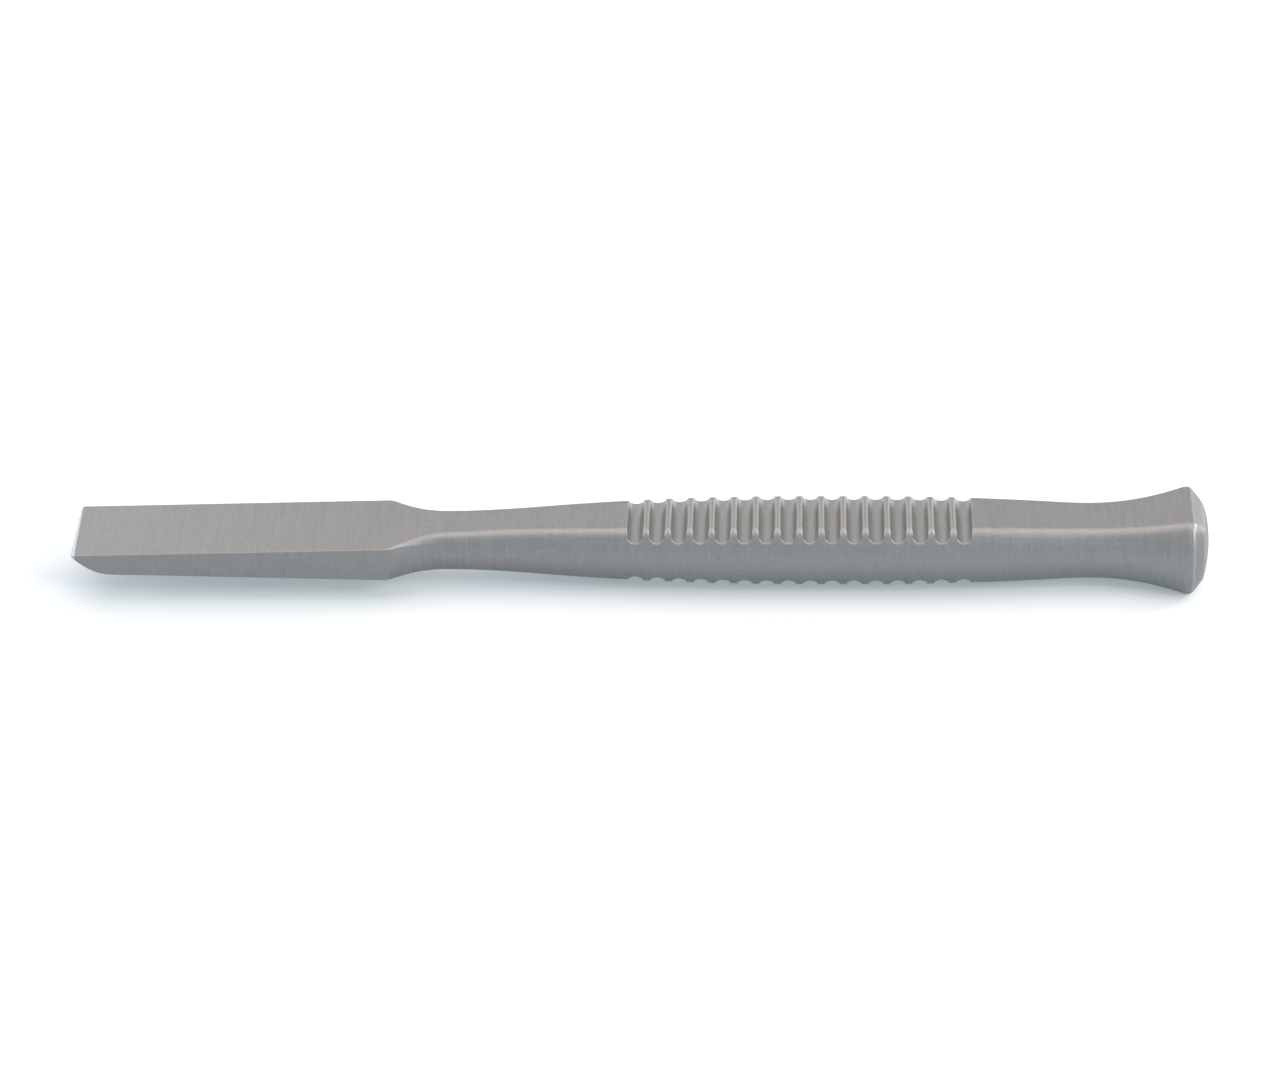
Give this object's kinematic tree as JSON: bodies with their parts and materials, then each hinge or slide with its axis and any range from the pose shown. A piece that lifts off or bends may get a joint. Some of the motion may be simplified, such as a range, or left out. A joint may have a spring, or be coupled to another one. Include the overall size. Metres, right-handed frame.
{
  "type": "bone chisel",
  "caption": "Straight one-piece bone chisel with a parallel blade, underside bevel, slim neck, cross-fluted grip and flared head with a domed striking face.",
  "frame": {"origin": "on the tool's axis, halfway between the cutting edge and the crown of the striking face", "axes": "+X along the axis from the cutting edge to the striking head, +Z square to the grip's flats and up, with the bevel on the underside"},
  "size_m": [0.125, 0.012, 0.0092],
  "materials": {
    "satin_steel": "bead-blasted satin stainless steel"
  },
  "bodies": {
    "root": {"chisel": "satin_steel"}
  },
  "joints": []
}
